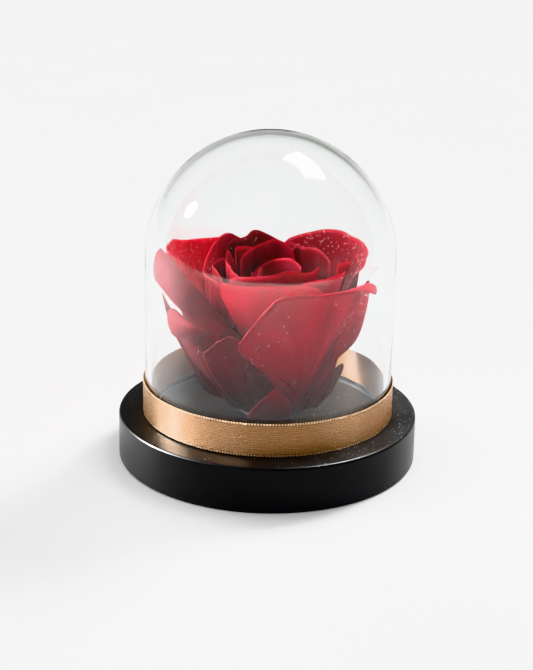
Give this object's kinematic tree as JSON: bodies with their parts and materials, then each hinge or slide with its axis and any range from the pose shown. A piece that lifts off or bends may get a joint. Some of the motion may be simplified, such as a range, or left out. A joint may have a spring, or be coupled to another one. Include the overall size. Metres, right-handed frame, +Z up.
{
  "type": "preserved rose in glass dome",
  "caption": "Small glass dome on a round black base with a gold satin ribbon round its foot, holding one preserved red rose head with petals spiralling round its heart.",
  "frame": {"origin": "centre of the base's underside", "axes": "+Z up, -Y towards the front that the picture shows"},
  "size_m": [0.09, 0.09, 0.0995],
  "materials": {
    "base": "satin black lacquer",
    "glass": "clear polished glass",
    "ribbon": "gold satin weave",
    "receptacle": "dried green",
    "petals": "velvety preserved petal"
  },
  "bodies": {
    "root": {"base": "base", "glass_dome": "glass", "ribbon": "ribbon", "receptacle": "receptacle", "low_front_petal": "petals", "front_right_petal": "petals", "slim_side_petal": "petals", "side_right_petal": "petals", "low_left_front_petal": "petals", "low_middle_petal": "petals", "low_right_front_petal": "petals", "far_left_petal": "petals", "low_left_petal": "petals", "low_right_petal": "petals", "low_back_left_petal": "petals", "low_back_petal": "petals", "low_back_right_petal": "petals", "left_petal": "petals", "back_petal": "petals", "back_left_petal": "petals", "back_right_petal": "petals", "front_petal": "petals", "right_petal": "petals", "left_inner_petal": "petals", "right_inner_petal": "petals", "back_inner_petal": "petals", "front_inner_petal": "petals", "pointed_petal": "petals", "front_swirl_petal": "petals", "right_swirl_petal": "petals", "back_left_swirl_petal": "petals", "left_swirl_petal": "petals", "long_swirl_petal": "petals", "low_heart_petal": "petals", "heart_back_petal": "petals", "heart_tip_petal": "petals", "heart_left_petal": "petals", "heart_right_petal": "petals", "bud_petal": "petals"}
  },
  "joints": []
}
